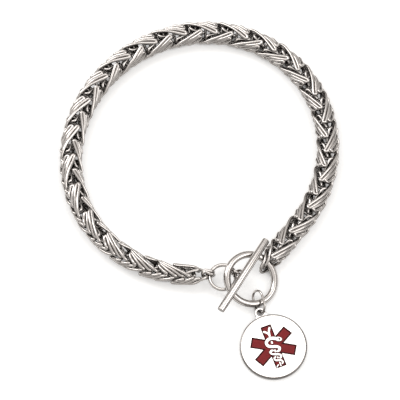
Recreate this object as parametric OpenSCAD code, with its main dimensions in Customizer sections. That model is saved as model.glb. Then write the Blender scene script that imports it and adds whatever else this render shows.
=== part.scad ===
// Medical alert bracelet: a doubled wheat chain of interlocked wire loops lying
// in a whole round loop, closed by a toggle clasp, with a round medallion that
// hangs from the clasp's ring on a wire bail and lies on the table.
// Millimetres, +Z up. The table is z = 0 and the origin is the middle of the
// ground that the bracelet covers.

/* [Bracelet] */
// Mean diameter of the chain's centre line
loop_d = 64.4; // [58:0.2:74]
// How far the loop lies out of round, as a radius
loop_oval = 0.88; // [0:0.02:1.2]
// Height of the chain's centre line above the table
chain_h = 2.79; // [2.78:0.01:3]

/* [Chain] */
// Diameter of the link wire
link_wire_d = 0.58; // [0.44:0.02:0.6]
// Distance from the chain's centre line to the wires of its arms
arm_r = 2.45; // [2.35:0.05:2.6]
// Distance from one link to the next along the chain
link_pitch = 3.9; // [3.8:0.05:4.2]

/* [Toggle ring] */
// Outside diameter of the toggle ring
ring_d = 14.3; // [13.6:0.1:15]
// Wire diameter of the toggle ring
ring_wire_d = 1.8; // [1.5:0.1:1.9]
// Slope of the toggle ring up to the left
ring_slope_left = 19; // [16:1:21]
// Slope of the toggle ring up to the back
ring_slope_back = 8; // [5:1:10]

/* [Toggle bar] */
// Length of the toggle bar
bar_len = 22; // [20:0.2:24]
// Diameter of the toggle bar
bar_d = 1.9; // [1.6:0.1:2.1]
// Wire diameter of the bar's soldered eye
eye_wire_d = 0.6; // [0.5:0.05:0.7]
// Inside diameter of the bar's soldered eye
eye_bore_d = 1.5; // [1.4:0.05:1.6]

/* [Jump rings] */
// Outside diameter of the large jump ring at the chain's end
jump_d = 7.4; // [7:0.1:7.8]
// Wire diameter of the large jump ring
jump_wire_d = 0.85; // [0.7:0.05:0.9]
// Inside diameter of the small connecting ring
connector_bore_d = 2.45; // [2.3:0.05:2.6]
// Wire diameter of the small connecting ring
connector_wire_d = 0.55; // [0.5:0.05:0.6]

/* [Bail] */
// Inside length of the bail
bail_len = 4.9; // [4.7:0.1:5.2]
// Inside width of the bail
bail_w = 3; // [2.9:0.05:3.2]
// Wire diameter of the bail
bail_wire_d = 0.62; // [0.5:0.02:0.62]

/* [Medallion] */
// Diameter of the medallion
disc_d = 16.7; // [15:0.1:20]
// Thickness of the medallion
disc_t = 1.2; // [1:0.05:1.6]
// Width of the bevel round both faces
bevel = 0.2; // [0.1:0.02:0.3]
// Wire diameter of the medallion's ear
ear_wire_d = 0.6; // [0.5:0.02:0.64]
// Inside diameter of the medallion's ear
ear_bore_d = 1.6; // [1.5:0.05:1.8]
// Depth of the enamel pocket
pocket_depth = 0.35; // [0.25:0.05:0.5]
// Height of the cast relief above the face
relief_h = 0.12; // [0.06:0.02:0.2]

/* [Emblem] */
// Length of each bar of the six-armed star
star_len = 11.3; // [10:0.1:12]
// Width of each bar of the six-armed star
star_w = 2.75; // [2.2:0.05:3]
// Width of the staff at its top
staff_w = 0.9; // [0.6:0.05:1]
// Greatest width of the serpent's body
serpent_w = 0.95; // [0.7:0.05:1.05]

/* [Hidden] */
$fn = 48;
steel = "silver";
gap = 0.1;
enamel_gap = 0.07;
wire_sides = 5;

// One loop of the chain, from its first crossing of the middle round to its second.
// Columns: place along the chain in pitches, angle round the chain from its outer
// side, distance from the chain's middle as a share of arm_r. The other half of the
// loop is this one turned half round the chain, and every second link is mirrored.
loop_a = [
    [0.13, 10, 0.98],
    [1.03, 49, 1.02],
    [2.05, 88, 1.00],
    [2.09, 70, 1.00],
    [1.33, 42, 1.02],
    [0.615, 6, 0.92],
    [0.59, 48, 0.605],
    [1.33, 90, 0.21]
];
loop_b = [
    [0.91, -1, 0.875],
    [1.49, 27, 1.02],
    [2.05, 50, 1.00],
    [2.09, 32, 1.00],
    [1.85, 21, 1.02],
    [1.51, 9, 0.96]
];
// The loops that close the chain's last link round the toggle ring.
end_a = [
    [0.13, 10, 0.98],
    [0.65, 38, 0.96],
    [1.15, 62, 0.84],
    [1.62, 76, 0.70],
    [1.91, 80, 0.34]
];
end_b = [
    [0.91, -1, 0.875],
    [1.25, 30, 0.90],
    [1.62, 52, 0.87],
    [2.03, 56, 0.64],
    [2.20, 62, 0.28]
];

// Twist of the chain about its own line. Columns: share of its run, turn in degrees
// towards the inner side.
twist = [
    [0, 42],
    [0.05, 52],
    [0.10, 46],
    [0.16, 30],
    [0.30, 6],
    [0.50, 0],
    [0.69, 0],
    [0.78, 18],
    [0.88, 12],
    [0.97, 4],
    [1, 0],
    [1.035, -18]
];

// The chain's line: an arc from the jump ring clockwise, then a straight lead to
// the toggle ring.
loop_r = loop_d / 2;
oval_angle = 48;
ring_r = (ring_d - ring_wire_d) / 2;
jump_r = (jump_d - jump_wire_d) / 2;
floor_gap = 0.03;
ring_angle = -69.2;
ring_out = 3.68;
jump_back = [-6.95, 0.61];
lead_angle = -38;

function unit(v) = v / norm(v);
function turn_z(a, v) = [v.x * cos(a) - v.y * sin(a), v.x * sin(a) + v.y * cos(a)];
function root(f, lo, hi, n) = n == 0 ? (lo + hi) / 2
    : let (mid = (lo + hi) / 2) f(lo) * f(mid) <= 0 ? root(f, lo, mid, n - 1)
    : root(f, mid, hi, n - 1);

function loop_r_at(a) = loop_r + loop_oval * cos(2 * (a - oval_angle));
function loop_out_at(a) = turn_z(a, unit([loop_r_at(a), 2 * loop_oval * sin(2 * (a - oval_angle))]));
function loop_at(a) = loop_r_at(a) * [cos(a), sin(a)];
function loop_len(a) = loop_r * a * PI / 180 + loop_oval / 2 * sin(2 * (a - oval_angle));

ring_rise = ring_r * norm([sin(ring_slope_left), sin(ring_slope_back) * cos(ring_slope_left)]);
ring_at = concat((loop_r + ring_out) * [cos(ring_angle), sin(ring_angle)],
    [floor_gap + ring_wire_d / 2 + ring_rise]);
function ring_point(a) = ring_at + ring_r * [
    cos(a) * cos(ring_slope_left) + sin(a) * sin(ring_slope_back) * sin(ring_slope_left),
    sin(a) * cos(ring_slope_back),
    sin(a) * sin(ring_slope_back) * cos(ring_slope_left) - cos(a) * sin(ring_slope_left)
];

lead_from = loop_at(lead_angle);
lead_out = loop_out_at(lead_angle);
lead_dir = [lead_out.y, -lead_out.x];
function flat(v) = [v.x, v.y];
meet_angle = root(function(a) (flat(ring_point(a)) - lead_from) * lead_out, 10, 80, 20);
ring_meet = ring_point(meet_angle);
lead_len = (flat(ring_meet) - lead_from) * lead_dir;

// The first link is hooked to the jump ring by two upright oval loops.
jump_at = [ring_at.x + jump_back.x, ring_at.y + jump_back.y, chain_h];
hook_angle = root(function(a) norm(loop_at(a) - flat(jump_at)) - jump_r, 266, 279, 20);
hook_reach = 1.95;
first_angle = hook_angle - hook_reach / loop_r * 180 / PI;
arc_len = loop_len(first_angle) - loop_len(lead_angle);
end_reach = 1.54;
run = arc_len + lead_len - end_reach * link_pitch;
link_count = 2 * round(run / link_pitch / 2);
pitch = run / link_count;

function angle_from(s, a, n) = n == 0 ? a
    : angle_from(s, a - (s - loop_len(first_angle) + loop_len(a)) / loop_r * 180 / PI, n - 1);
function angle_at(s) = angle_from(s, first_angle - s / loop_r * 180 / PI, 3);
function line_at(s) = s < arc_len ? loop_at(angle_at(s)) : lead_from + (s - arc_len) * lead_dir;
function out_at(s) = s < arc_len ? loop_out_at(angle_at(s)) : lead_out;
function roll_at(s) = lookup(s / run, twist);

// The last loops bend down to the toggle ring's wire.
bend_from = run + 1.05 * link_pitch;
bend_len = arc_len + lead_len - bend_from;
function line_h(s) = chain_h
    + (ring_meet.z - chain_h) * min(max((s - bend_from) / bend_len, 0), 1);

// A point given along the chain, round it and out from its middle.
function chain_point(s, a, r) =
    let (p = line_at(s), o = out_at(s), t = a + roll_at(s))
    [p.x + o.x * r * cos(t), p.y + o.y * r * cos(t), line_h(s) + r * sin(t)];

// Both halves of one loop of link n.
function loop_side(n) = n % 2 == 0 ? -1 : 1;
function loop_points(rows, n) =
    let (side = loop_side(n), last = len(rows) - 1)
    [
        for (r = rows) chain_point((n + r[0]) * pitch, side * r[1], r[2] * arm_r),
        for (i = [last:-1:0]) chain_point((n + rows[i][0]) * pitch, side * (rows[i][1] + 180),
            rows[i][2] * arm_r)
    ];

// An oval that hooks the first link's crossing wire to the jump ring, beside the
// middle. It twists from square across that wire to upright at the ring.
hook_r = 0.95;
hook_steps = 5;
hook_side = 0.36;
hook_far = 1.4;
hook_cross = loop_a[0][0] * link_pitch;
hook_turn = loop_side(0) * loop_a[0][1] + roll_at(hook_cross);
hook_past = 0.5;
function hook_roll(s) = 90 + hook_turn * min(max((s + hook_reach) / (hook_reach + hook_cross), 0), 1);
function hook_points(side) =
    [
        for (i = [0:2 * hook_steps - 1])
            let (
                front = i < hook_steps,
                a = (front ? -90 : 90) + (i % hook_steps) * 180 / (hook_steps - 1),
                s = (front ? hook_far - hook_r : -hook_reach - hook_past) + hook_r * cos(a),
                h = hook_r * sin(a),
                w = hook_roll(s),
                q = line_at(s),
                o = out_at(s),
                x = h * cos(w) + side * hook_side * sin(w),
                z = h * sin(w) - side * hook_side * cos(w)
            )
            [q.x + o.x * x, q.y + o.y * x, chain_h + z]
    ];

// Wire swept round a closed run of points.
function next(i, n) = (i + 1) % n;
function prev(i, n) = (i + n - 1) % n;
function tangents(p) = [
    for (i = [0:len(p) - 1])
        unit(unit(p[next(i, len(p))] - p[i]) + unit(p[i] - p[prev(i, len(p))]))
];
function first_side(t) = unit(cross(t, abs(t.z) < 0.8 ? [0, 0, 1] : [1, 0, 0]));
function carry(t, i, side) = i == len(t) - 1 ? [side]
    : concat([side], carry(t, i + 1, unit(side - (side * t[i + 1]) * t[i + 1])));
function wire_points(p, d) =
    let (
        n = len(p),
        t = tangents(p),
        sides = carry(t, 0, first_side(t[0])),
        back = unit(sides[n - 1] - (sides[n - 1] * t[0]) * t[0]),
        slip = atan2(cross(sides[0], back) * t[0], sides[0] * back)
    )
    [
        for (i = [0:n - 1], j = [0:wire_sides - 1])
            let (a = j * 360 / wire_sides - slip * i / n, up = cross(t[i], sides[i]))
            p[i] + d / 2 * (cos(a) * sides[i] + sin(a) * up)
    ];
function wire_faces(n) = [
    for (i = [0:n - 1], j = [0:wire_sides - 1])
        let (k = (j + 1) % wire_sides, m = next(i, n))
        [i * wire_sides + j, m * wire_sides + j, m * wire_sides + k, i * wire_sides + k]
];

module wire_loop(p) {
    polyhedron(points = wire_points(p, link_wire_d), faces = wire_faces(len(p)), convexity = 6);
}

module links(first, last) {
    for (n = [first:last]) {
        wire_loop(loop_points(loop_a, n));
        wire_loop(loop_points(loop_b, n));
    }
}

half_count = round(link_count / 2);

module chain_left() {
    color(steel) about_middle() {
        for (side = [-1, 1]) wire_loop(hook_points(side));
        links(0, half_count - 1);
    }
}

module chain_right() {
    color(steel) about_middle() {
        links(half_count, link_count - 1);
        wire_loop(loop_points(end_a, link_count));
        wire_loop(loop_points(end_b, link_count));
    }
}

// A round wire ring lying in the XY plane about the origin.
module wire_ring(r, d) {
    rotate_extrude() translate([r, 0]) circle(d = d, $fn = 24);
}

module toggle_ring() {
    color(steel) about_middle() translate(ring_at)
        rotate([ring_slope_back, ring_slope_left, 0]) wire_ring(ring_r, ring_wire_d);
}

// The bar lies over the toggle ring, and its eye hangs inside the ring, turned
// towards the jump ring.
bar_high_angle = 217;
bar_low_angle = 82.5;
bar_share = 0.415;
bar_lift = ((ring_wire_d + bar_d) / 2 + gap + 0.02) * [0.29, -0.14, 0.94];
bar_high = ring_point(bar_high_angle) + bar_lift;
bar_low = ring_point(bar_low_angle) + bar_lift;
bar_run = bar_low - bar_high;
bar_angle = atan2(bar_run.y, bar_run.x);
bar_slope = -asin(bar_run.z / norm(bar_run));
bar_at = bar_high + bar_share * bar_run;
bar_end = 0.12;
eye_turn = 52;
eye_sink = 0.1;
eye_r = (eye_bore_d + eye_wire_d) / 2;
eye_drop = bar_d / 2 + eye_r - eye_sink;

module toggle_bar() {
    color(steel) about_middle() translate(bar_at) rotate([0, 0, bar_angle])
        rotate([0, bar_slope, 0]) {
            rotate([0, 90, 0]) rotate_extrude() polygon([
                [0, -bar_len / 2], [bar_d / 2 - bar_end, -bar_len / 2],
                [bar_d / 2, -bar_len / 2 + bar_end], [bar_d / 2, bar_len / 2 - bar_end],
                [bar_d / 2 - bar_end, bar_len / 2], [0, bar_len / 2]
            ]);
            rotate([eye_turn, 0, 0]) translate([0, 0, -eye_drop]) rotate([90, 0, 0])
                wire_ring(eye_r, eye_wire_d);
        }
}

module jump_ring() {
    color(steel) about_middle() translate(jump_at) wire_ring(jump_r, jump_wire_d);
}

// The connecting ring stands upright through the jump ring and the bar's eye.
connector_r = (connector_bore_d + connector_wire_d) / 2;
connector_turn = 64.7;
connector_at = ring_at + [-3.70, 1.33, 0.13];

module connector_ring() {
    color(steel) about_middle() translate(connector_at) rotate([0, 90, connector_turn])
        wire_ring(connector_r, connector_wire_d);
}

// The bail goes round the toggle ring's wire and through the medallion's ear. The
// medallion lies on the table, tipped by the bail's wire under its ear.
bail_angle = 105;
bail_slope = 11;
bail_turn = -54;
bail_hang_angle = 291;
bail_at = ring_point(bail_hang_angle) + [0.11, 0.27, 0.37];
bail_mid_len = bail_len - bail_w;
bail_foot = bail_len / 2 + bail_wire_d / 2;
ear_r = (ear_bore_d + ear_wire_d) / 2;
ear_sink = 0.12;
ear_out = disc_d / 2 + ear_r - ear_sink;
disc_angle = 20.5;
disc_tip = 1.85;
ear_at = flat(bail_at) + [0.31, -2.77];
disc_at = ear_at - ear_out * turn_z(disc_angle, [0, 1]);
disc_lift = floor_gap + disc_d / 2 * sin(disc_tip);

// The part's origin is the middle of the ground between the chain's back and the
// medallion's front.
chain_back = loop_r_at(88) + arm_r + 0.19 * link_wire_d;
middle = [0.04, (chain_back + disc_at.y - disc_d / 2) / 2];
module about_middle() {
    translate([-middle.x, -middle.y, 0]) children();
}

module bail() {
    color(steel) about_middle() translate(bail_at) rotate([0, 0, bail_angle])
        rotate([0, -bail_slope, 0]) rotate([bail_turn, 0, 0]) {
            for (end = [0, 180])
                rotate([0, 0, end]) translate([bail_mid_len / 2, 0, 0]) rotate([0, 0, -90])
                    rotate_extrude(angle = 180) translate([(bail_w + bail_wire_d) / 2, 0])
                        circle(d = bail_wire_d, $fn = 24);
            for (side = [-1, 1])
                translate([-bail_mid_len / 2, side * (bail_w + bail_wire_d) / 2, 0])
                    rotate([0, 90, 0]) cylinder(d = bail_wire_d, h = bail_mid_len, $fn = 24);
        }
}

// Flat outlines of the emblem, with the staff upright along +Y.
module star_outline(grow) {
    for (a = [0, 60, 120])
        rotate(a) square([star_w + 2 * grow, star_len + 2 * grow], center = true);
}

// The serpent's swings from side to side of the staff, from its neck to its tail.
// Columns: height of the upper crossing, reach out from the staff (left is minus),
// both as shares of half the star's length, and body width as a share of serpent_w.
serpent = [
    [0.40, -0.28, 1.00],
    [0.00, 0.22, 0.82],
    [-0.17, -0.21, 0.74],
    [-0.36, 0.18, 0.66],
    [-0.52, -0.16, 0.58],
    [-0.67, 0.15, 0.50],
    [-0.80, -0.10, 0.42]
];
serpent_foot = -0.90;
swing_steps = 10;
half_len = star_len / 2;
neck = [[-0.02, 0.40], [0.17, 0.36], [0.33, 0.25]];
head_size = [0.8, 0.55];
head_turn = -30;
eye_hole_d = 0.26;
fork = [[-0.15, 0.84], [0.17, 0.88]];
fork_from = 0.62;

function swing_arc(c, a, b, first, last) = [
    for (i = [0:swing_steps])
        let (t = first + (last - first) * i / swing_steps) [c.x + a * sin(t), c.y + b * cos(t)]
];

module swing(row, foot, grow) {
    top = row[0] * half_len;
    h = (top - foot * half_len) / 2;
    x = abs(row[1]) * half_len;
    w = serpent_w * row[2] / 2 + grow;
    side = sign(row[1]);
    mid = [0, top - h];
    polygon(concat(swing_arc(mid, side * (x + w), h + w, 0, 180),
        swing_arc(mid, side * max(x - w, 0), max(h - w, 0), 180, 0)));
}

module stroke(from, to, w) {
    d = unit(to - from);
    n = [-d.y, d.x] * w / 2;
    polygon([from + n, from - n, to - n, to + n]);
    for (p = [from, to]) translate(p) circle(d = w);
}

module relief_outline(grow) {
    polygon([
        [-staff_w * 0.32 - grow, -half_len - grow], [staff_w * 0.32 + grow, -half_len - grow],
        [staff_w / 2 + grow, fork_from * half_len + grow],
        [-staff_w / 2 - grow, fork_from * half_len + grow]
    ]);
    for (tip = fork)
        stroke([0, (fork_from + 0.04) * half_len], tip * half_len, staff_w * 0.75 + 2 * grow);
    for (i = [0:len(serpent) - 1])
        swing(serpent[i], i == len(serpent) - 1 ? serpent_foot : serpent[i + 1][0], grow);
    for (i = [1:len(neck) - 1])
        stroke(neck[i - 1] * half_len, neck[i] * half_len, serpent_w + 2 * grow);
    translate(neck[len(neck) - 1] * half_len) rotate(head_turn)
        polygon(swing_arc([0, 0], head_size.x + grow, head_size.y + grow, 0, 360));
}

module on_disc() {
    about_middle() translate([disc_at.x, disc_at.y, disc_lift])
        rotate([0, 0, disc_angle]) rotate([disc_tip, 0, 0]) children();
}

module medallion() {
    color(steel) on_disc() {
        difference() {
            rotate_extrude($fn = 96) polygon([
                [0, 0], [disc_d / 2 - bevel, 0], [disc_d / 2, bevel],
                [disc_d / 2, disc_t - bevel], [disc_d / 2 - bevel, disc_t], [0, disc_t]
            ]);
            translate([0, 0, disc_t - pocket_depth]) linear_extrude(pocket_depth + 1)
                star_outline(0);
        }
        translate([0, 0, disc_t - pocket_depth - 0.1])
            linear_extrude(pocket_depth + 0.1 + relief_h) difference() {
                relief_outline(0);
                translate(neck[len(neck) - 1] * half_len) circle(d = eye_hole_d, $fn = 16);
            }
        translate([0, ear_out, disc_t / 2]) wire_ring(ear_r, ear_wire_d);
    }
}

module enamel_star() {
    color("firebrick") on_disc() translate([0, 0, disc_t - pocket_depth + enamel_gap])
        linear_extrude(pocket_depth - enamel_gap) difference() {
            star_outline(-enamel_gap);
            relief_outline(enamel_gap);
        }
}

chain_left();
chain_right();
toggle_ring();
toggle_bar();
jump_ring();
connector_ring();
bail();
medallion();
enamel_star();
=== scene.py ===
import math

import bmesh
import bpy
import numpy as np
from bpy.props import FloatProperty, FloatVectorProperty, IntProperty, PointerProperty
from mathutils import Matrix, Vector


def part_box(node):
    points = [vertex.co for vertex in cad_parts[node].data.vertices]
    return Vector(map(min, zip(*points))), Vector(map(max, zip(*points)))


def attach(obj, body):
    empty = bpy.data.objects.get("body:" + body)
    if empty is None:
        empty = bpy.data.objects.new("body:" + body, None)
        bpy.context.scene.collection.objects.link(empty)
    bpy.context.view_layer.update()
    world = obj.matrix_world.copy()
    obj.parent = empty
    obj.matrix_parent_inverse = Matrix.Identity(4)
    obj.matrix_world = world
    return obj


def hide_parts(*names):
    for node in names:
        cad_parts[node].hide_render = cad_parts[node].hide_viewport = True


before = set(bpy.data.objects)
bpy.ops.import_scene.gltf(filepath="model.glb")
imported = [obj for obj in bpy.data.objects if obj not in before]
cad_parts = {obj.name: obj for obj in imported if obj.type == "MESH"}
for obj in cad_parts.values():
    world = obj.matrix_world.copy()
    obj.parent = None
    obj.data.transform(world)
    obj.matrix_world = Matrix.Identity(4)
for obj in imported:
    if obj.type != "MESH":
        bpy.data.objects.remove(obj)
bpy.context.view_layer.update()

bl_info = {
    "name": "Medical Alert Bracelet",
    "version": (1, 0, 0),
    "blender": (4, 5, 0),
    "location": "3D View > Sidebar > Bracelet",
    "description": "A doubled wheat chain with a toggle clasp and an enamelled medallion",
    "category": "Object",
}

MM = 0.001
BODY = "root"
REST_GAP = 0.02 * MM

# One loop of the chain, from its first crossing of the middle round to its second.
# Columns: place along the chain in pitches, angle round the chain from its outer
# side, distance from the chain's middle as a share of the arms' radius.
LOOP_LONG = (
    (0.13, 10, 0.98),
    (1.01, 45, 1.03),
    (2.10, 97, 1.00),
    (2.16, 81, 1.00),
    (1.39, 43, 1.03),
    (0.615, 6, 0.92),
    (0.59, 48, 0.605),
    (1.33, 90, 0.21),
)
LOOP_SHORT = (
    (0.91, -1, 0.875),
    (1.47, 26, 1.02),
    (2.07, 61, 1.00),
    (2.12, 45, 1.00),
    (1.87, 26, 1.02),
    (1.51, 9, 0.96),
)
# The first link's long loop, drawn in to the chain's middle where the hooks take it.
START_LONG = ((0.13, 10, 0.52), (0.52, 27, 0.82), *LOOP_LONG[1:])
# The loops that close the chain's last link round the toggle ring.
END_LONG = (
    (0.13, 10, 0.98),
    (0.65, 38, 0.96),
    (1.15, 62, 0.84),
    (1.62, 76, 0.70),
    (1.91, 80, 0.34),
)
END_SHORT = (
    (0.91, -1, 0.875),
    (1.25, 30, 0.90),
    (1.62, 52, 0.87),
    (2.03, 56, 0.64),
    (2.20, 62, 0.28),
)
# Twist of the chain about its own line. Columns: share of its run, turn in degrees
# towards the inner side.
TWIST = (
    (0, 52), (0.05, 57), (0.10, 50), (0.16, 40), (0.22, 29), (0.28, 17), (0.50, 14),
    (0.60, 13), (0.69, 3), (0.76, 6), (0.84, 12), (0.90, 8), (0.97, 4), (1, 0), (1.035, -18),
)

# The serpent's path about the staff, from its head down. Columns: sideways place and
# height as shares of half the star's length, width as a share of the serpent's, and
# its side of the staff, over it above 0 and under it below 0.
SERPENT = (
    (0.21, 0.30, 1.10, 1.0),
    (0.12, 0.345, 1.08, 1.0),
    (0.01, 0.375, 1.04, 1.0),
    (-0.12, 0.36, 1.00, 0.9),
    (-0.24, 0.25, 1.00, 0.8),
    (-0.22, 0.10, 0.97, 0.9),
    (-0.08, 0.01, 0.95, 1.0),
    (0.10, -0.05, 0.93, 1.0),
    (0.215, -0.14, 0.92, 0.6),
    (0.19, -0.25, 0.72, 0.1),
    (0.07, -0.27, 0.69, -0.6),
    (-0.04, -0.21, 0.62, -1.0),
    (-0.14, -0.16, 0.62, -0.5),
    (-0.225, -0.215, 0.62, 0.3),
    (-0.18, -0.31, 0.62, 0.9),
    (-0.04, -0.38, 0.66, 1.0),
    (0.10, -0.43, 0.64, 0.8),
    (0.17, -0.52, 0.62, 0.2),
    (0.09, -0.595, 0.61, -0.6),
    (-0.01, -0.55, 0.53, -1.0),
    (-0.09, -0.495, 0.53, -0.5),
    (-0.165, -0.54, 0.53, 0.3),
    (-0.12, -0.64, 0.53, 0.9),
    (0.00, -0.68, 0.58, 1.0),
    (0.11, -0.73, 0.56, 0.8),
    (0.13, -0.82, 0.53, 0.2),
    (0.05, -0.88, 0.48, -0.6),
    (-0.05, -0.86, 0.43, -1.0),
    (-0.12, -0.88, 0.37, -0.4),
    (-0.19, -0.95, 0.27, 0.3),
)


def size(name, description, millimetres):
    """A length property whose default is given in millimetres."""
    return FloatProperty(name=name, description=description, default=millimetres * MM,
                         precision=6, unit="LENGTH")


def angle(name, description, degrees):
    """An angle property whose default is given in degrees."""
    return FloatProperty(name=name, description=description, default=math.radians(degrees),
                         subtype="ANGLE")


def colour(name, description, red, green, blue):
    """A linear colour property."""
    return FloatVectorProperty(name=name, description=description, subtype="COLOR", size=3,
                               default=(red, green, blue), min=0.0, max=1.0)


class ChainSizes(bpy.types.PropertyGroup):
    """Sizes of the wheat chain and of the line it lies on."""
    wire_d: size("Link wire", "Diameter of the link wire", 0.76)
    arm_r: size("Arm radius", "From the chain's middle to the wires of its arms", 2.34)
    pitch: size("Pitch", "Distance from one link to the next", 3.9)
    height: size("Height", "Height of the chain's middle above the table", 2.79)
    loop_d: size("Loop diameter", "Mean diameter of the chain's line", 64.4)
    oval: size("Out of round", "How far the loop lies out of round, as a radius", 0.88)
    oval_angle: angle("Oval angle", "Direction of the loop's longest diameter", 48)
    lead_angle: angle("Lead angle", "Where the chain leaves its arc for the toggle ring", -38)
    sides: IntProperty(name="Wire sides", description="Sides of the link wire", default=12, min=6)
    steps: IntProperty(name="Steps", description="Steps to each bend of a link", default=7, min=2)


class ClaspSizes(bpy.types.PropertyGroup):
    """Sizes of the toggle clasp, the jump rings and the bail."""
    ring_d: size("Ring", "Outside diameter of the toggle ring", 14.3)
    ring_wire_d: size("Ring wire", "Wire diameter of the toggle ring", 1.8)
    ring_left: angle("Ring slope left", "Slope of the toggle ring up to the left", 19)
    ring_back: angle("Ring slope back", "Slope of the toggle ring up to the back", 8)
    bar_len: size("Bar length", "Length of the toggle bar", 22)
    bar_d: size("Bar diameter", "Diameter of the toggle bar", 1.9)
    eye_wire_d: size("Eye wire", "Wire diameter of the bar's eye", 0.66)
    eye_bore_d: size("Eye bore", "Inside diameter of the bar's eye", 1.5)
    eye_turn: angle("Eye turn", "Turn of the eye about the bar", 52)
    jump_d: size("Jump ring", "Outside diameter of the large jump ring", 7.4)
    jump_wire_d: size("Jump ring wire", "Wire diameter of the large jump ring", 0.95)
    connector_bore_d: size("Connector bore", "Inside diameter of the small ring", 2.45)
    connector_wire_d: size("Connector wire", "Wire diameter of the small ring", 0.64)
    connector_turn: angle("Connector turn", "Turn of the small ring about the upright", 64.7)
    bail_len: size("Bail length", "Inside length of the bail", 4.9)
    bail_w: size("Bail width", "Inside width of the bail", 3)
    bail_wire_d: size("Bail wire", "Wire diameter of the bail", 0.62)
    bail_angle: angle("Bail angle", "Direction of the bail on the table", 105)
    bail_slope: angle("Bail slope", "Slope of the bail along its length", 11)
    bail_turn: angle("Bail turn", "Turn of the bail about its length", -54)


class MedallionSizes(bpy.types.PropertyGroup):
    """Sizes of the medallion and its emblem."""
    disc_d: size("Diameter", "Diameter of the medallion", 16.7)
    disc_t: size("Thickness", "Thickness of the medallion", 1.2)
    bevel: size("Bevel", "Width of the rounded edges", 0.2)
    ear_wire_d: size("Ear wire", "Wire diameter of the ear", 0.6)
    ear_bore_d: size("Ear bore", "Inside diameter of the ear", 1.6)
    pocket: size("Pocket", "Depth of the enamel pocket", 0.35)
    relief: size("Relief", "Height of the cast relief above the face", 0.12)
    star_len: size("Star length", "Length of each bar of the star", 11.3)
    star_w: size("Star width", "Width of each bar of the star", 2.75)
    staff_w: size("Staff", "Width of the staff at its top", 0.68)
    serpent_w: size("Serpent", "Greatest width of the serpent", 0.95)
    relief_gap: size("Relief gap", "Enamel seen where the serpent and the staff cross", 0.26)
    turn: angle("Turn", "Turn of the medallion on the table", 20.5)
    tip: angle("Tip", "Slope of the medallion up to its ear", 1.85)


class Finishes(bpy.types.PropertyGroup):
    """Colours and polish of the metal, the enamel and the table."""
    steel: colour("Steel", "Colour of the polished steel", 0.76, 0.72, 0.688)
    # Colour of the painted shade on the steel: in its hollows, on its steep flanks and at marked
    # edges.
    steel_painted_shade: colour("Hollows", "Colour of the steel in its hollows", 0.14, 0.129, 0.121)
    polish: FloatProperty(name="Polish", description="Roughness of the steel", default=0.14,
                          min=0.02, max=1.0, subtype="FACTOR")
    enamel: colour("Enamel", "Colour of the enamel", 0.27, 0.024, 0.026)
    # Colour of the enamel at the pocket's wall and beside the relief: partly thicker enamel, partly
    # painted shade.
    enamel_shade: colour("Enamel edge", "Colour of the enamel where it is deep", 0.035, 0.002, 0.004)
    table: colour("Table", "Colour of the table", 0.93, 0.93, 0.925)
    table_shade: colour("Table shade", "Colour of the table close under a piece", 0.36, 0.31, 0.285)


# Shapes as points and faces

def unit(v):
    """The direction of a vector, one metre long."""
    return v / np.linalg.norm(v)


def middle_of(node):
    """The middle of a CAD node's box."""
    low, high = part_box(node)
    return (np.array(low) + np.array(high)) / 2


def rotation(*turns):
    """The product of turns given as (angle, axis), outermost first."""
    m = Matrix.Identity(4)
    for a, axis in turns:
        m = m @ Matrix.Rotation(a, 4, axis)
    return m


def placed(points, at, *turns):
    """Points turned and then moved to a place."""
    m = np.array(Matrix.Translation(Vector(at)) @ rotation(*turns))
    return np.asarray(points) @ m[:3, :3].T + m[:3, 3]


def smooth_loop(points, steps):
    """A closed run of points as a smooth curve through all of them. Its slope at a
    point is held back where a short step lies beside a long one."""
    b = np.asarray(points)
    a, c = np.roll(b, 1, axis=0), np.roll(b, -1, axis=0)
    chord = np.linalg.norm(c - a, axis=1)
    short = np.minimum(np.linalg.norm(b - a, axis=1), np.linalg.norm(c - b, axis=1))
    most = 1.9 * short / chord
    slope = (c - a) * np.minimum(0.5, most)[:, None]
    ahead = np.roll(slope, -1, axis=0)
    t = np.arange(steps)[:, None, None] / steps
    run = ((2 * t ** 3 - 3 * t ** 2 + 1) * b + (t ** 3 - 2 * t ** 2 + t) * slope
           + (3 * t ** 2 - 2 * t ** 3) * c + (t ** 3 - t ** 2) * ahead)
    return run.transpose(1, 0, 2).reshape(-1, b.shape[1])


def smooth_run(points, steps):
    """An open run of points as a smooth curve through all of them."""
    p = np.asarray(points, dtype=float)
    p = np.vstack([2 * p[0] - p[1], p, 2 * p[-1] - p[-2]])
    t = np.arange(steps)[:, None] / steps
    parts = []
    for a, b, c, d in zip(p, p[1:], p[2:], p[3:]):
        parts.append(0.5 * (2 * b + (c - a) * t + (2 * a - 5 * b + 4 * c - d) * t ** 2
                            + (3 * b - a - 3 * c + d) * t ** 3))
    return np.vstack(parts + [p[-2:-1]])


def round_steps(count):
    """Equal steps once round, in radians."""
    return np.arange(count) * 2 * math.pi / count


def circle(radius, count, z=0.0):
    """A level circle of points about the upright."""
    a = round_steps(count)
    return np.stack([radius * np.cos(a), radius * np.sin(a), np.full(count, z)], axis=1)


def stadium(length, width, count):
    """The closed middle line of an oval with straight sides, in the XY plane."""
    r, reach = width / 2, (length - width) / 2
    a = np.linspace(-math.pi / 2, math.pi / 2, count)
    end = np.stack([reach + r * np.cos(a), r * np.sin(a), 0 * a], axis=1)
    return np.vstack([end, end * (-1, -1, 1)])


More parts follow.
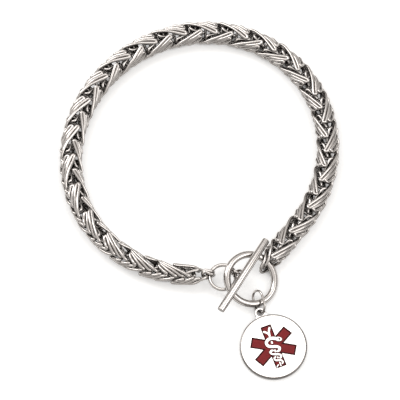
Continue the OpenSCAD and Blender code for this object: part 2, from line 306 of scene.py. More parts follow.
class Solid:
    """Points and faces gathered from several closed shapes."""

    def __init__(self):
        self.points, self.faces, self.marks = [], [], []

    def add(self, points, faces, marks=None):
        """Adds a shape. A mark is how much painted shade its point gets."""
        start = len(self.points)
        self.points += [tuple(p) for p in points]
        self.faces += [tuple(start + i for i in f) for f in faces]
        self.marks += list(marks) if marks is not None else [0.0] * len(points)

    def rings(self, rings, closed=False, caps=(True, True), marks=None):
        """Joins equal rings of points. The first and the last ring of an open run are
        capped as asked."""
        n, rows = len(rings[0]), len(rings)
        faces = []
        for i in range(rows if closed else rows - 1):
            a, b = i * n, (i + 1) % rows * n
            faces += [(a + j, a + (j + 1) % n, b + (j + 1) % n, b + j) for j in range(n)]
        if caps[0] and not closed:
            faces.append(tuple(range(n))[::-1])
        if caps[1] and not closed:
            faces.append(tuple((rows - 1) * n + j for j in range(n)))
        self.add(np.vstack(rings), faces, marks)

    def fill(self, loops, z):
        """Fills the ground between an outer loop and the loops inside it, facing up."""
        bm = bmesh.new()
        edges = []
        for loop in loops:
            verts = [bm.verts.new((p[0], p[1], z)) for p in loop]
            edges += [bm.edges.new((v, verts[(i + 1) % len(verts)])) for i, v in enumerate(verts)]
        bmesh.ops.triangle_fill(bm, use_beauty=True, edges=edges)
        bm.verts.index_update()
        faces = []
        for f in bm.faces:
            f.normal_update()
            order = [v.index for v in f.verts]
            faces.append(order if f.normal.z > 0 else order[::-1])
        self.add([tuple(v.co) for v in bm.verts], faces)
        bm.free()

    def piece(self, name, at, turns, material, mark_name=None):
        """Makes the mesh object, with its place in its mesh."""
        mesh = bpy.data.meshes.new(name)
        mesh.from_pydata(placed(np.array(self.points), at, *turns).tolist(), [], self.faces)
        if mark_name:
            layer = mesh.attributes.new(mark_name, "FLOAT", "POINT")
            layer.data.foreach_set("value", self.marks)
        bm = bmesh.new()
        bm.from_mesh(mesh)
        bmesh.ops.remove_doubles(bm, verts=bm.verts, dist=0.0005 * MM)
        bmesh.ops.recalc_face_normals(bm, faces=bm.faces)
        bm.to_mesh(mesh)
        bm.free()
        mesh.materials.append(material)
        obj = bpy.data.objects.new(name, mesh)
        bpy.context.scene.collection.objects.link(obj)
        return obj


def soften(obj, degrees):
    """Smooth shading with sharp edges where faces meet at more than an angle."""
    mesh = obj.data
    mesh.shade_smooth()
    bm = bmesh.new()
    bm.from_mesh(mesh)
    limit = math.radians(degrees)
    for e in bm.edges:
        e.smooth = len(e.link_faces) == 2 and e.calc_face_angle(0) < limit
    bm.to_mesh(mesh)
    bm.free()


# The chain's line

class Route:
    """The chain's line: an arc from the jump ring clockwise, then a straight lead to
    the toggle ring. Angles are in degrees."""

    # The toggle ring's direction from the loop's middle, and its distance outside the loop.
    ring_angle = -69.2
    ring_out = 3.68 * MM
    # From the jump ring's wire to the first link.
    hook_reach = 0.55 * MM
    # In pitches, from the end of the links' run: to the toggle ring's wire, and to where
    # the line starts down to it.
    end_reach = 1.54
    bend_reach = 1.05
    # Angles between which the line's ends are looked for: round the toggle ring where
    # the line meets it, and round the loop where the line crosses the jump ring.
    meet_between = (10, 80)
    hook_between = (266, 279)

    def __init__(self, chain, clasp):
        self.chain = chain
        self.r = chain.loop_d / 2
        self.oval_angle = math.degrees(chain.oval_angle)
        self.jump_at = middle_of("jump_ring")
        self.ring_at = middle_of("toggle_ring")
        self.ring_r = (clasp.ring_d - clasp.ring_wire_d) / 2
        self.ring_turn = np.array(rotation((clasp.ring_left, "Y"), (clasp.ring_back, "X")))[:3, :3]
        jump_r = (clasp.jump_d - clasp.jump_wire_d) / 2
        away = math.radians(self.ring_angle)
        self.centre = self.ring_at[:2] - (self.r + self.ring_out) * np.array(
            [math.cos(away), math.sin(away)])
        lead = math.degrees(chain.lead_angle)
        self.lead_from, self.lead_out = self.loop_at(lead), self.loop_out(lead)
        self.lead_dir = np.array([self.lead_out[1], -self.lead_out[0]])
        meet = root(lambda a: (self.ring_point(a)[:2] - self.lead_from) @ self.lead_out,
                    *self.meet_between)
        self.meet = self.ring_point(meet)
        lead_len = (self.meet[:2] - self.lead_from) @ self.lead_dir
        hook = root(lambda a: np.linalg.norm(self.loop_at(a) - self.jump_at[:2]) - jump_r,
                    *self.hook_between)
        self.first = hook - math.degrees(self.hook_reach / self.r)
        self.arc_len = self.loop_len(self.first) - self.loop_len(lead)
        self.length = self.arc_len + lead_len
        self.run = self.length - self.end_reach * chain.pitch
        self.count = 2 * round(self.run / chain.pitch / 2)
        self.pitch = self.run / self.count
        self.bend_from = self.run + self.bend_reach * chain.pitch

    def radius(self, a):
        """The loop's radius in a direction, as it lies a little out of round."""
        return self.r + self.chain.oval * math.cos(math.radians(2 * (a - self.oval_angle)))

    def loop_at(self, a):
        """The loop's place in a direction from its middle."""
        t = math.radians(a)
        return self.centre + self.radius(a) * np.array([math.cos(t), math.sin(t)])

    def loop_out(self, a):
        """The outward direction that is square to the loop."""
        t = math.radians(a)
        slope = 2 * self.chain.oval * math.sin(math.radians(2 * (a - self.oval_angle)))
        v = unit(np.array([self.radius(a), slope]))
        return np.array([v[0] * math.cos(t) - v[1] * math.sin(t),
                         v[0] * math.sin(t) + v[1] * math.cos(t)])

    def loop_len(self, a):
        """The loop's length up to a direction."""
        wave = math.sin(math.radians(2 * (a - self.oval_angle)))
        return self.r * math.radians(a) + self.chain.oval / 2 * wave

    def ring_point(self, a):
        """A place on the middle line of the leaning toggle ring."""
        t = math.radians(a)
        flat = self.ring_r * np.array([math.cos(t), math.sin(t), 0])
        return self.ring_at + self.ring_turn @ flat

    def at(self, s):
        """The middle line's place and outward direction at a distance along it."""
        if s >= self.arc_len:
            return self.lead_from + (s - self.arc_len) * self.lead_dir, self.lead_out
        a = self.first - math.degrees(s / self.r)
        for _ in range(3):
            a -= math.degrees((s - self.loop_len(self.first) + self.loop_len(a)) / self.r)
        return self.loop_at(a), self.loop_out(a)

    def roll(self, s):
        """The chain's twist about its own line, in degrees."""
        shares, turns = zip(*TWIST)
        return float(np.interp(s / self.run, shares, turns))

    def height(self, s):
        """The middle line's height, which falls at its end to the toggle ring's wire."""
        share = np.clip((s - self.bend_from) / (self.length - self.bend_from), 0, 1)
        return self.chain.height + (self.meet[2] - self.chain.height) * share

    def point(self, s, a, r):
        """A point given along the chain, round it and out from its middle."""
        p, out = self.at(s)
        t = math.radians(a + self.roll(s))
        flat = p + out * r * math.cos(t)
        return np.array([flat[0], flat[1], self.height(s) + r * math.sin(t)])

    def loop(self, rows, n):
        """Both halves of one loop of link n, kept off the table. Every second link is
        mirrored."""
        side = -1 if n % 2 == 0 else 1
        arm = self.chain.arm_r
        half = [self.point((n + s) * self.pitch, side * a, r * arm) for s, a, r in rows]
        back = [self.point((n + s) * self.pitch, side * (a + 180), r * arm)
                for s, a, r in reversed(rows)]
        points = smooth_loop(half + back, self.chain.steps)
        resting = self.chain.wire_d / 2 + REST_GAP
        points[:, 2] = np.maximum(points[:, 2], resting)
        return points

    def hook(self, side):
        """An oval that hooks the first link's crossing wire to the jump ring."""
        # Radius of its ends, half the distance between the two ovals, its far end along
        # the chain, and how far its near end's middle lies past the jump ring's wire.
        r, beside, far, past = 0.95 * MM, 0.40 * MM, 1.4 * MM, -0.08 * MM
        cross = LOOP_LONG[0][0] * self.chain.pitch
        turn = -LOOP_LONG[0][1] + self.roll(cross)
        steps = 16
        points = []
        for i in range(2 * steps):
            front = i < steps
            a = math.radians((-90 if front else 90) + i % steps * 180 / (steps - 1))
            s = (far - r if front else -self.hook_reach - past) + r * math.cos(a)
            h = r * math.sin(a)
            share = np.clip((s + self.hook_reach) / (self.hook_reach + cross), 0, 1)
            w = math.radians(90 + turn * share)
            p, out = self.at(s)
            flat = p + out * (h * math.cos(w) + side * beside * math.sin(w))
            points.append((flat[0], flat[1],
                           self.chain.height + h * math.sin(w) - side * beside * math.cos(w)))
        return np.array(points)


def root(f, low, high):
    """Where f crosses zero between two angles."""
    for _ in range(30):
        mid = (low + high) / 2
        if f(low) * f(mid) <= 0:
            high = mid
        else:
            low = mid
    return (low + high) / 2


# Node trees

def wire_tree():
    """A Geometry Nodes tree that sweeps paths into round wire."""
    tree = bpy.data.node_groups.new("Wire along paths", "GeometryNodeTree")
    sockets = (
        ("Paths", "INPUT", "NodeSocketGeometry"),
        ("Wire Diameter", "INPUT", "NodeSocketFloat"),
        ("Sides", "INPUT", "NodeSocketInt"),
        ("Material", "INPUT", "NodeSocketMaterial"),
        ("Wire", "OUTPUT", "NodeSocketGeometry"),
    )
    for name, side, kind in sockets:
        tree.interface.new_socket(name, in_out=side, socket_type=kind)
    new, link = tree.nodes.new, tree.links.new
    given, result = new("NodeGroupInput"), new("NodeGroupOutput")
    paths = new("GeometryNodeMeshToCurve")
    half = new("ShaderNodeMath")
    half.operation = "MULTIPLY"
    half.inputs[1].default_value = 0.5
    ring = new("GeometryNodeCurvePrimitiveCircle")
    sweep = new("GeometryNodeCurveToMesh")
    smooth = new("GeometryNodeSetShadeSmooth")
    real = new("GeometryNodeRealizeInstances")
    paint = new("GeometryNodeSetMaterial")
    link(given.outputs["Paths"], paths.inputs["Mesh"])
    link(given.outputs["Wire Diameter"], half.inputs[0])
    link(half.outputs[0], ring.inputs["Radius"])
    link(given.outputs["Sides"], ring.inputs["Resolution"])
    link(paths.outputs["Curve"], sweep.inputs["Curve"])
    link(ring.outputs["Curve"], sweep.inputs["Profile Curve"])
    link(sweep.outputs["Mesh"], smooth.inputs["Geometry"])
    link(smooth.outputs["Geometry"], real.inputs["Geometry"])
    link(real.outputs["Geometry"], paint.inputs["Geometry"])
    link(given.outputs["Material"], paint.inputs["Material"])
    link(paint.outputs["Geometry"], result.inputs["Wire"])
    return tree


def wire_piece(name, paths, wire_d, sides, material):
    """One piece of round wire that follows closed paths."""
    mesh = bpy.data.meshes.new(name + "_paths")
    points, edges = [], []
    for path in paths:
        start, n = len(points), len(path)
        points += [tuple(p) for p in path]
        edges += [(start + i, start + (i + 1) % n) for i in range(n)]
    mesh.from_pydata(points, edges, [])
    obj = bpy.data.objects.new(name, mesh)
    bpy.context.scene.collection.objects.link(obj)
    tree = bpy.data.node_groups.get("Wire along paths") or wire_tree()
    modifier = obj.modifiers.new("Wire", "NODES")
    modifier.node_group = tree
    given = {s.name: s.identifier for s in tree.interface.items_tree if s.in_out == "INPUT"}
    modifier[given["Wire Diameter"]] = wire_d
    modifier[given["Sides"]] = sides
    modifier[given["Material"]] = material
    depsgraph = bpy.context.evaluated_depsgraph_get()
    swept = bpy.data.meshes.new_from_object(obj.evaluated_get(depsgraph))
    obj.modifiers.clear()
    obj.data = swept
    bpy.data.meshes.remove(mesh)
    swept.name = name
    outward(swept)
    return obj


def outward(mesh):
    """Turns a mesh's faces outward."""
    bm = bmesh.new()
    bm.from_mesh(mesh)
    bmesh.ops.recalc_face_normals(bm, faces=bm.faces)
    bm.to_mesh(mesh)
    bm.free()


# Finishes

def shader(name):
    """A new material, its nodes and links, and its principled shader."""
    material = bpy.data.materials.new(name)
    material.use_nodes = True
    nodes, links = material.node_tree.nodes, material.node_tree.links
    return material, nodes, links, nodes["Principled BSDF"]


def noise(nodes, links, scale, detail):
    """Noise on object coordinates."""
    place = nodes.new("ShaderNodeTexCoord")
    texture = nodes.new("ShaderNodeTexNoise")
    texture.inputs["Scale"].default_value = scale
    texture.inputs["Detail"].default_value = detail
    links.new(place.outputs["Object"], texture.inputs["Vector"])
    return texture.outputs["Fac"]


def openness(nodes, distance, samples=16):
    """How free a point is, from 0 to 1, of other surfaces within a distance."""
    node = nodes.new("ShaderNodeAmbientOcclusion")
    node.samples = samples
    node.inputs["Distance"].default_value = distance
    return node.outputs["AO"]


def attribute(nodes, name):
    """A value stored on the piece's points."""
    node = nodes.new("ShaderNodeAttribute")
    node.attribute_name = name
    return node.outputs["Fac"]


def combined(nodes, links, operation, first, second):
    """Two values through one operation of arithmetic, held between 0 and 1."""
    node = nodes.new("ShaderNodeMath")
    node.operation = operation
    node.use_clamp = True
    links.new(first, node.inputs[0])
    links.new(second, node.inputs[1])
    return node.outputs["Value"]


def bumped(nodes, links, surface, height, strength, distance):
    """A fine unevenness of the surface."""
    node = nodes.new("ShaderNodeBump")
    node.inputs["Strength"].default_value = strength
    node.inputs["Distance"].default_value = distance
    links.new(height, node.inputs["Height"])
    links.new(node.outputs["Normal"], surface.inputs["Normal"])


def ranged(nodes, links, value, low, high, start=0.0, end=1.0):
    """A value carried from one range to another."""
    node = nodes.new("ShaderNodeMapRange")
    links.new(value, node.inputs["Value"])
    node.inputs["From Min"].default_value = start
    node.inputs["From Max"].default_value = end
    node.inputs["To Min"].default_value = low
    node.inputs["To Max"].default_value = high
    return node.outputs["Result"]


def blend(nodes, links, share, first, second):
    """Two colours mixed by a share."""
    node = nodes.new("ShaderNodeMix")
    node.data_type = "RGBA"
    node.inputs["A"].default_value = (*first, 1)
    node.inputs["B"].default_value = (*second, 1)
    links.new(share, node.inputs["Factor"])
    return node.outputs["Result"]


def polished_steel(finish):
    """Tumbled steel: fine rubbing marks in its roughness. Its colour carries painted shade:
    darker where wires lie close, on steep flanks and at cut edges."""
    material, nodes, links, surface = shader("Polished steel")
    # Painted shade: the steel's colour darkens where other surfaces lie close, on flanks that face
    # away from the top, and at points that the edge attribute marks dark.
    clear = openness(nodes, distance=3.2 * MM, samples=8)
    clear = ranged(nodes, links, clear, 0.0, 1.0, start=0.08, end=0.5)
    facing = nodes.new("ShaderNodeSeparateXYZ")
    links.new(nodes.new("ShaderNodeNewGeometry").outputs["Normal"], facing.inputs["Vector"])
    flank_painted_shade = ranged(nodes, links, facing.outputs["Z"], 0.08, 1.0, start=0.08, end=0.85)
    share = combined(nodes, links, "MULTIPLY", clear, flank_painted_shade)
    share = combined(nodes, links, "SUBTRACT", share, attribute(nodes, "edge"))
    links.new(blend(nodes, links, share, finish.steel_painted_shade, finish.steel),
              surface.inputs["Base Color"])
    surface.inputs["Metallic"].default_value = 1.0
    rub = noise(nodes, links, scale=900, detail=4)
    rub = ranged(nodes, links, rub, finish.polish * 0.75, finish.polish * 1.4, start=0.3, end=0.7)
    links.new(rub, surface.inputs["Roughness"])
    bumped(nodes, links, surface, noise(nodes, links, scale=1400, detail=2),
           strength=0.05, distance=0.01 * MM)
    return material


def hard_enamel(finish):
    """Glassy enamel with a slight orange peel. Its colour is darker where it meets the pocket's
    wall, partly as the thicker enamel there and partly as painted shade, and darker beside the
    relief as painted shade."""
    material, nodes, links, surface = shader("Red enamel")
    # Painted shade beside the relief: the enamel darkens where other surfaces lie close.
    beside = ranged(nodes, links, openness(nodes, distance=0.5 * MM), 1.0, 0.0,
                    start=0.72, end=0.97)
    shaded = combined(nodes, links, "MAXIMUM", attribute(nodes, "edge"), beside)
    cloud = noise(nodes, links, scale=700, detail=3)
    cloud = ranged(nodes, links, cloud, 0.0, 0.2, start=0.3, end=0.7)
    share = combined(nodes, links, "MAXIMUM", shaded, cloud)
    links.new(blend(nodes, links, share, finish.enamel, finish.enamel_shade),
              surface.inputs["Base Color"])
    surface.inputs["Roughness"].default_value = 0.3
    surface.inputs["Specular IOR Level"].default_value = 0.12
    bumped(nodes, links, surface, noise(nodes, links, scale=1500, detail=2),
           strength=0.1, distance=0.02 * MM)
    return material


def table_top(finish):
    """A plain pale table that glows a little, as painted light that keeps it white, with painted
    shadow in its colour and its glow close under and beside each piece.
    """
    material, nodes, links, surface = shader("Pale table")
    # Painted shadow: the table's colour and glow fall off where a piece lies close over it.
    clear = ranged(nodes, links, openness(nodes, distance=2.6 * MM), 0.0, 1.0,
                   start=0.22, end=0.46)
    fleck = ranged(nodes, links, noise(nodes, links, scale=6, detail=2), 0.97, 1.0)
    share = combined(nodes, links, "MULTIPLY", clear, fleck)
    links.new(blend(nodes, links, share, finish.table_shade, finish.table),
              surface.inputs["Base Color"])
    # Painted light: the table glows, less where it lies in painted shadow.
    links.new(ranged(nodes, links, share, 0.0, 0.42), surface.inputs["Emission Strength"])
    surface.inputs["Roughness"].default_value = 0.8
    surface.inputs["Specular IOR Level"].default_value = 0.2
    surface.inputs["Emission Color"].default_value = (1.0, 0.995, 0.985, 1)
    return material


def studio():
    """A studio that is dim near the table's level and bright overhead."""
    world = bpy.data.worlds.new("Studio")
    world.use_nodes = True
    nodes, links = world.node_tree.nodes, world.node_tree.links
    around = nodes.new("ShaderNodeTexCoord")
    parts = nodes.new("ShaderNodeSeparateXYZ")
    links.new(around.outputs["Generated"], parts.inputs["Vector"])
    share = ranged(nodes, links, parts.outputs["Z"], 0.0, 1.0, start=0.25, end=0.62)
    dim, bright = (0.08, 0.075, 0.072), (0.72, 0.70, 0.685)
    back = nodes["Background"]
    links.new(blend(nodes, links, share, dim, bright), back.inputs["Color"])
    back.inputs["Strength"].default_value = 1.0
    return world


def material_of(name):
    """A finish by name, made the first time that it is asked for."""
    makers = {"Polished steel": polished_steel, "Red enamel": hard_enamel, "Pale table": table_top}
    finish = bpy.context.scene.bracelet_finish
    return bpy.data.materials.get(name) or makers[name](finish)


# Pieces

def join(name, pieces):
    """Joins mesh objects that already lie in place into one piece."""
    bm = bmesh.new()
    for piece in pieces:
        bm.from_mesh(piece.data)
    mesh = bpy.data.meshes.new(name)
    bm.to_mesh(mesh)
    bm.free()
    mesh.materials.append(pieces[0].data.materials[0])
    for piece in pieces:
        bpy.data.objects.remove(piece)
    obj = bpy.data.objects.new(name, mesh)
    bpy.context.scene.collection.objects.link(obj)
    return obj


def fit(piece, node):
    """Rides a finished piece on the part and lets it stand for its CAD node."""
    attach(piece, BODY)
    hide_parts(node)


class BRACELET_OT_chain(bpy.types.Operator):
    """Lay the doubled wheat chain from the jump ring round to the toggle ring"""
    bl_idname = "bracelet.chain"
    bl_label = "Lay Chain"

    def execute(self, context):
        chain, clasp = context.scene.bracelet_chain, context.scene.bracelet_clasp
        steel = material_of("Polished steel")
        route = Route(chain, clasp)
        loops = [[route.loop(rows, n) for rows in (LOOP_LONG if n else START_LONG, LOOP_SHORT)]
                 for n in range(route.count)]
        loops.append([route.loop(rows, route.count) for rows in (END_LONG, END_SHORT)])
        half = round(route.count / 2)
        left = [route.hook(side) for side in (-1, 1)] + sum(loops[:half], [])
        right = sum(loops[half:], [])
        for name, node, paths in (("links_left", "chain_left", left),
                                  ("links_right", "chain_right", right)):
            fit(wire_piece(name, paths, chain.wire_d, chain.sides, steel), node)
        return {"FINISHED"}


class BRACELET_OT_rings(bpy.types.Operator):
    """Bend the toggle ring, the jump rings and the bail"""
    bl_idname = "bracelet.rings"
    bl_label = "Bend Rings"

    def execute(self, context):
        c = context.scene.bracelet_clasp
        steel = material_of("Polished steel")
        bail = stadium(c.bail_len + c.bail_wire_d, c.bail_w + c.bail_wire_d, 32)
        # Columns: piece, its CAD node, path, wire diameter, sides, turns.
        rows = (
            ("clasp_ring", "toggle_ring", circle((c.ring_d - c.ring_wire_d) / 2, 128),
             c.ring_wire_d, 32, ((c.ring_left, "Y"), (c.ring_back, "X"))),
            ("large_jump_ring", "jump_ring", circle((c.jump_d - c.jump_wire_d) / 2, 96),
             c.jump_wire_d, 20, ()),
            ("small_jump_ring", "connector_ring",
             circle((c.connector_bore_d + c.connector_wire_d) / 2, 64), c.connector_wire_d, 16,
             ((c.connector_turn, "Z"), (math.radians(90), "Y"))),
            ("medallion_bail", "bail", bail, c.bail_wire_d, 18,
             ((c.bail_angle, "Z"), (-c.bail_slope, "Y"), (c.bail_turn, "X"))),
        )
        for name, node, path, wire_d, sides, turns in rows:
            path = placed(path, middle_of(node), *turns)
            fit(wire_piece(name, [path], wire_d, sides, steel), node)
        return {"FINISHED"}


class BRACELET_OT_bar(bpy.types.Operator):
    """Turn the toggle bar and solder its eye on"""
    bl_idname = "bracelet.bar"
    bl_label = "Turn Bar"

    def execute(self, context):
        c = context.scene.bracelet_clasp
        steel = material_of("Polished steel")
        r, half = c.bar_d / 2, c.bar_len / 2
        rim, ring_gap, solder_depth = 0.12 * MM, 0.12 * MM, 0.1 * MM
        # The bar lies over the leaning ring's wire at two angles round the ring, lifted
        # about square to it. Its middle is a share of the way from the first to the second.
        ring_up = np.array([0.29, -0.14, 0.94])
        first_angle, second_angle, middle_share = 217, 82.5, 0.415
        route = Route(context.scene.bracelet_chain, c)
        lift = ((c.ring_wire_d + c.bar_d) / 2 + ring_gap) * ring_up
        start, end = route.ring_point(first_angle) + lift, route.ring_point(second_angle) + lift
        run = unit(end - start)
        at = start + middle_share * (end - start)
        turns = ((math.atan2(run[1], run[0]), "Z"), (-math.asin(run[2]), "Y"))
        bar, around = Solid(), round_steps(48)
        corner = [(half - rim + rim * math.sin(a), r - rim + rim * math.cos(a))
                  for a in np.linspace(0, math.pi / 2, 6)]
        profile = [(-x, h) for x, h in reversed(corner)] + corner
        bar.rings([np.stack([np.full(48, x), h * np.cos(around), h * np.sin(around)], axis=1)
                   for x, h in profile])
        rod = bar.piece("rod", at, turns, steel)
        eye_r = (c.eye_bore_d + c.eye_wire_d) / 2
        drop = r + eye_r - solder_depth
        eye = placed(circle(eye_r, 48), (0, 0, -drop), (math.radians(90), "X"))
        eye = placed(eye, (0, 0, 0), (c.eye_turn, "X"))
        loop = wire_piece("eye", [placed(eye, at, *turns)], c.eye_wire_d, 16, steel)
        piece = join("clasp_bar", [rod, loop])
        soften(piece, 35)
        fit(piece, "toggle_bar")
        return {"FINISHED"}


class BRACELET_OT_medallion(bpy.types.Operator):
    """Cut the medallion with its pocket, and raise the staff and the serpent in it"""
    bl_idname = "bracelet.medallion"
    bl_label = "Cast Medallion"

    def execute(self, context):
        m = context.scene.bracelet_medallion
        steel = material_of("Polished steel")
        disc = Solid()
        r, t, b, n = m.disc_d / 2, m.disc_t, m.bevel, 160
        # The fine line just inside the rim.
        line_r, line_w, line_depth = r - b - 0.02 * MM, 0.14 * MM, 0.1 * MM
        arc = np.linspace(0, math.pi / 2, 6)
        rows = [(r - b + b * math.sin(a), b - b * math.cos(a)) for a in arc]
        rows += [(r - b + b * math.cos(a), t - b + b * math.sin(a)) for a in arc]
        rows += [(line_r, t), (line_r - line_w / 2, t - line_depth), (line_r - line_w, t)]
        rings = [circle(radius, n, z) for radius, z in rows]
        # How much painted shade each row gets, from the back's edge to the line inside the rim: the
        # back's rounded edge, the side and most of the top's rounded edge are painted dark, fading
        # onto the face, and the line's floor is painted dark.
        dark = [1] * 10 + [0.8, 0.5, 0.5, 1, 0]
        disc.rings(rings, caps=(True, False), marks=np.repeat(dark, n))
        star, floor = star_loop(m, 0), t - m.pocket
        disc.fill([rings[-1], star], t)
        wall = [np.column_stack([star, np.full(len(star), z)]) for z in (t, floor)]
        disc.rings(wall, caps=(False, False))
        disc.fill([star], floor)
        self.relief(disc, m, floor)
        self.head(disc, m, floor)
        self.ear(disc, m)
        # The marks go to the edge attribute, which the steel paints as shade.
        piece = disc.piece("medallion_disc", medallion_place(m), medallion_turns(m), steel, "edge")
        soften(piece, 32)
        fit(piece, "medallion")
        return {"FINISHED"}

    @staticmethod
    def ear(solid, m):
        """The flat ear at the disc's edge, and the neck that joins it."""
        r, half, edge = (m.ear_bore_d + m.ear_wire_d) / 2, m.ear_wire_d / 2, m.disc_d / 2
        sunk, neck_inset = 0.12 * MM, 0.02 * MM
        out = edge + r - sunk
        section = [(x * half, z * half) for x, z in (
            (-1, -0.5), (-0.6, -1), (0.6, -1), (1, -0.5), (1, 0.5), (0.6, 1), (-0.6, 1),
            (-1, 0.5))]
        rings = [np.array([((r + x) * math.cos(a), out + (r + x) * math.sin(a), m.disc_t / 2 + z)
                           for x, z in section]) for a in round_steps(64)]
        # Painted shade on the ear's inner and outer sides; its flat faces get a little.
        dark = [1 if abs(x) == half else 0.2 for x, _ in section]
        solid.rings(rings, closed=True, marks=dark * len(rings))
        # The neck's right side in millimetres: sideways, and outward from the disc's edge.
        side = ((1.75, -0.5), (1.42, 0.08), (1.24, 0.45), (1.2, 0.75), (0.95, 0.62), (0.6, 0.3),
                (0.2, 0.14))
        outline = [(x * MM, edge + y * MM) for x, y in side]
        outline += [(-x, y) for x, y in reversed(outline)]
        solid.rings([np.array([(x, y, m.disc_t / 2 + z) for x, y in outline])
                     for z in (neck_inset - half, half - neck_inset)])

    @staticmethod
    def relief(solid, m, floor):
        """The staff with its forked top, and the serpent that winds over and under it.
        Each is broken, with a gap of enamel, where the other lies over it."""
        half, gap = m.star_len / 2, m.relief_gap
        low, high = m.disc_t + 0.25 * m.relief, m.disc_t + m.relief
        serpent = smooth_run(SERPENT, 8)
        serpent[:, :2] *= half
        serpent[:, 2] *= m.serpent_w
        staff = smooth_run(np.array([(0, -0.93), (0, -0.3), (0, 0.3), (0.02, 0.6)]) * half, 40)
        staff_w = m.staff_w * np.linspace(0.5, 1.0, len(staff))
        over = serpent[serpent[:, 3] > 0]
        apart = np.linalg.norm(staff[:, None] - over[None, :, :2], axis=2) - over[:, 2] / 2
        for k in runs(apart.min(axis=1) > gap):
            ribbon(solid, staff[k], staff_w[k], low, floor, k.stop < len(staff) and k.start > 0)
        staff_side = m.staff_w * 0.42
        under = (serpent[:, 3] < 0) & (abs(serpent[:, 0]) < staff_side + gap)
        for k in runs(~under):
            ribbon(solid, serpent[k, :2], serpent[k, 2], high, floor)
        # The fork's prongs start as one, so each top is a little higher than the last.
        start, step = (0.02, 0.55), 0.006 * MM
        prongs = (((0.05, 0.70), (0.125, 0.84)), ((-0.05, 0.67), (-0.15, 0.755)))
        for k, (bend, tip) in enumerate(prongs, 1):
            prong = smooth_run(np.array([start, bend, tip]) * half, 5)
            ribbon(solid, prong, m.staff_w * 0.9, low + k * step, floor)

    @staticmethod
    def head(solid, m, floor):
        """The serpent's head with its drilled eye."""
        half, count, eye_count = m.star_len / 2, 40, 16
        long_r, short_r, tilt = 0.92 * MM, 0.6 * MM, math.radians(-27)
        bevel, eye_r, eye_depth = 0.06 * MM, 0.24 * MM, 0.4 * MM
        top = m.disc_t + 1.15 * m.relief
        middle = np.array((0.325 * half, 0.235 * half, 0))
        rim = placed(circle(1, count) * (long_r, short_r, 1), middle, (tilt, "Z"))
        inner = middle + (rim - middle) * 0.9
        eye = circle(eye_r, eye_count) + (0.36 * half, 0.225 * half, 0)
        # Painted shade on the head's side and bevel, and down the walls of its drilled eye.
        solid.rings([loop + (0, 0, z) for loop, z in (
            (rim, floor), (rim, top - bevel), (inner, top))],
            caps=(True, False), marks=np.repeat((1, 0.8, 0), count))
        solid.fill([inner, eye], top)
        solid.rings([eye + (0, 0, z) for z in (top, top - eye_depth)], caps=(False, True),
                    marks=[1] * 2 * eye_count)


def runs(wanted):
    """The stretches of two or more places at which a row of truths holds."""
    edges = np.flatnonzero(np.diff(np.concatenate(([0], wanted.astype(int), [0]))))
    return [slice(a, b) for a, b in zip(edges[::2], edges[1::2]) if b - a > 1]


def ribbon(solid, path, widths, tops, floor, square=False):
    """A flat-topped cast strand along an open path, with sloping sides and round or
    square ends."""
    path = np.asarray(path)[:, :2]
    widths, tops = (np.broadcast_to(v, len(path)) for v in (widths, tops))
    along = np.gradient(path, axis=0)
    along /= np.linalg.norm(along, axis=1)[:, None]
    # Columns: sideways place in half widths, drop below the top or None at the foot, how
    # much painted shade it gets: the sloping sides are painted dark as an outline.
    bevel, sunk = 0.05 * MM, 0.05 * MM
    section = ((-1.3, None, 1), (-0.84, bevel, 1), (-0.76, 0, 0), (0.76, 0, 0),
               (0.84, bevel, 1), (1.3, None, 1))
    rings = []

    def ring(p, d, w, z):
        side = np.array([-d[1], d[0]])
        rings.append(np.array([(*(p + side * x * w / 2),
                                floor - sunk if drop is None else z - drop)
                               for x, drop, _ in section]))

    def end(k, sign, angles):
        for a in np.radians(angles):
            ring(path[k] + sign * along[k] * widths[k] / 2 * math.sin(a), along[k],
                 widths[k] * math.cos(a), tops[k])

    if not square:
        end(0, -1, (75, 45, 20))
    for row in zip(path, along, widths, tops):
        ring(*row)
    if not square:
        end(-1, 1, (20, 45, 75))
    solid.rings(rings, marks=[dark for _, _, dark in section] * len(rings))


def star_loop(m, grow, z=None):
    """The six-armed star's outline, grown outward, its corners a little rounded."""
    w, reach, radius = m.star_w / 2 + grow, m.star_len / 2 + grow, 0.1 * MM
    corners = []
    for k in range(6):
        a = math.radians(90 + 60 * k)
        along, side = np.array([math.cos(a), math.sin(a)]), np.array([math.sin(a), -math.cos(a)])
        corners += [along * reach + side * w, along * reach - side * w]
        inner = a + math.radians(30)
        corners.append(2 * w * np.array([math.cos(inner), math.sin(inner)]))
    corners = np.array(corners)
    points = []
    for before, p, after in zip(np.roll(corners, 1, axis=0), corners, np.roll(corners, -1, axis=0)):
        start, end = p + unit(before - p) * radius, p + unit(after - p) * radius
        for t in (0, 0.33, 0.67, 1):
            points.append((1 - t) ** 2 * start + 2 * t * (1 - t) * p + t ** 2 * end)
    return np.array(points) if z is None else np.column_stack([points, np.full(len(points), z)])


def medallion_turns(m):
    """How the medallion lies, turned on the table and tipped up to its ear."""
    return (m.turn, "Z"), (m.tip, "X")


def medallion_place(m):
    """The middle of the medallion's back, from the enamel's box."""
    low, high = (np.array(v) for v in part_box("enamel_star"))
    top = np.array(rotation(*medallion_turns(m)))[:3, 2] * m.disc_t
    at = (low + high) / 2 - top
    table_gap = 0.03 * MM
    at[2] = table_gap + m.disc_d / 2 * math.sin(m.tip)
    return at


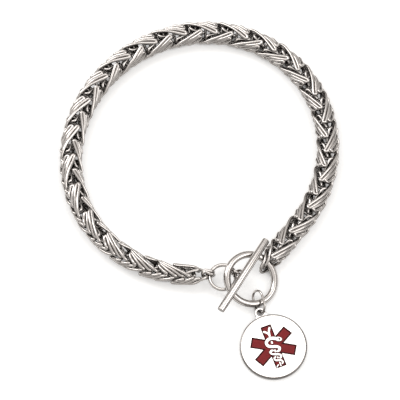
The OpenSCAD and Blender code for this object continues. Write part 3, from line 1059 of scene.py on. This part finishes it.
class BRACELET_OT_enamel(bpy.types.Operator):
    """Fill the medallion's pocket with enamel"""
    bl_idname = "bracelet.enamel"
    bl_label = "Fill Enamel"

    def execute(self, context):
        m = context.scene.bracelet_medallion
        top, brim = m.disc_t - 0.045 * MM, m.disc_t - 0.012 * MM
        floor = m.disc_t - m.pocket + 0.02 * MM
        # Columns: millimetres outward from the pocket's wall, height, how dark it is: near the
        # wall, partly thicker enamel and partly painted shade.
        rows = ((-0.004, floor, 1.0), (-0.004, brim, 1.0), (-0.06, top, 1.0),
                (-0.28, top, 1.0), (-0.38, top, 0.5), (-0.5, top, 0.0))
        loops = [star_loop(m, out * MM, z) for out, z, _ in rows]
        enamel = Solid()
        enamel.rings(loops, caps=(True, False),
                     marks=np.repeat([dark for _, _, dark in rows], len(loops[0])))
        enamel.fill([loops[-1]], top)
        piece = enamel.piece("medallion_enamel", medallion_place(m), medallion_turns(m),
                             material_of("Red enamel"), "edge")
        soften(piece, 40)
        fit(piece, "enamel_star")
        return {"FINISHED"}


class BRACELET_OT_stage(bpy.types.Operator):
    """Set the pale table, the soft lights and the camera"""
    bl_idname = "bracelet.stage"
    bl_label = "Set Stage"

    # Columns: name, place in metres, width and height in metres, watts.
    lights = (
        ("Key", (-0.8, 0.5, 0.95), 0.5, 1.2, 5.2),
        ("Fill", (0.9, -0.35, 0.9), 0.8, 0.8, 3.3),
        ("Top", (0.0, 0.41, 1.13), 0.42, 0.42, 1.05),
    )

    def execute(self, context):
        scene = context.scene
        mesh = bpy.data.meshes.new("table")
        reach = 1.5
        mesh.from_pydata([(-reach, -reach, 0), (reach, -reach, 0), (reach, reach, 0),
                          (-reach, reach, 0)], [], [(0, 1, 2, 3)])
        mesh.materials.append(material_of("Pale table"))
        table = bpy.data.objects.new("table", mesh)
        scene.collection.objects.link(table)
        for name, place, width, height, watts in self.lights:
            lamp = bpy.data.lights.new(name, "AREA")
            lamp.shape, lamp.size, lamp.size_y, lamp.energy = "RECTANGLE", width, height, watts
            obj = bpy.data.objects.new(name, lamp)
            obj.location = place
            obj.rotation_euler = Vector(place).to_track_quat("Z", "Y").to_euler()
            scene.collection.objects.link(obj)
        scene.world = studio()
        scene.view_settings.view_transform = "Standard"
        lens = bpy.data.cameras.new("Camera")
        camera = bpy.data.objects.new("Camera", lens)
        distance, elevation, width = 1.4, math.radians(70), 100 * MM
        aim = Vector((0.085 * MM, 0.478 * MM, 0))
        camera.location = aim + distance * Vector((0, -math.cos(elevation), math.sin(elevation)))
        camera.rotation_euler = (math.pi / 2 - elevation, 0, 0)
        lens.sensor_width = 36
        lens.lens = lens.sensor_width * distance / width
        lens.clip_start, lens.clip_end = 0.05, 20
        scene.collection.objects.link(camera)
        scene.camera = camera
        return {"FINISHED"}


class BRACELET_PT_panel(bpy.types.Panel):
    """Lists the bracelet's pieces"""
    bl_label = "Bracelet"
    bl_idname = "BRACELET_PT_panel"
    bl_space_type = "VIEW_3D"
    bl_region_type = "UI"
    bl_category = "Bracelet"

    def draw(self, context):
        for operator in OPERATORS:
            self.layout.operator(operator.bl_idname)
        for group in GROUPS:
            data = getattr(context.scene, group)
            for name in data.__annotations__:
                self.layout.prop(data, name)


OPERATORS = (BRACELET_OT_stage, BRACELET_OT_chain, BRACELET_OT_rings, BRACELET_OT_bar,
             BRACELET_OT_medallion, BRACELET_OT_enamel)
GROUPS = {
    "bracelet_chain": ChainSizes,
    "bracelet_clasp": ClaspSizes,
    "bracelet_medallion": MedallionSizes,
    "bracelet_finish": Finishes,
}


def register():
    for cls in (*GROUPS.values(), *OPERATORS, BRACELET_PT_panel):
        bpy.utils.register_class(cls)
    for name, cls in GROUPS.items():
        setattr(bpy.types.Scene, name, PointerProperty(type=cls))


def unregister():
    for name in GROUPS:
        delattr(bpy.types.Scene, name)
    for cls in (BRACELET_PT_panel, *reversed(OPERATORS), *reversed(GROUPS.values())):
        bpy.utils.unregister_class(cls)


def main():
    register()
    bpy.ops.bracelet.stage()
    bpy.ops.bracelet.chain()
    bpy.ops.bracelet.rings()
    bpy.ops.bracelet.bar()
    bpy.ops.bracelet.medallion()
    bpy.ops.bracelet.enamel()


if __name__ == "__main__":
    main()
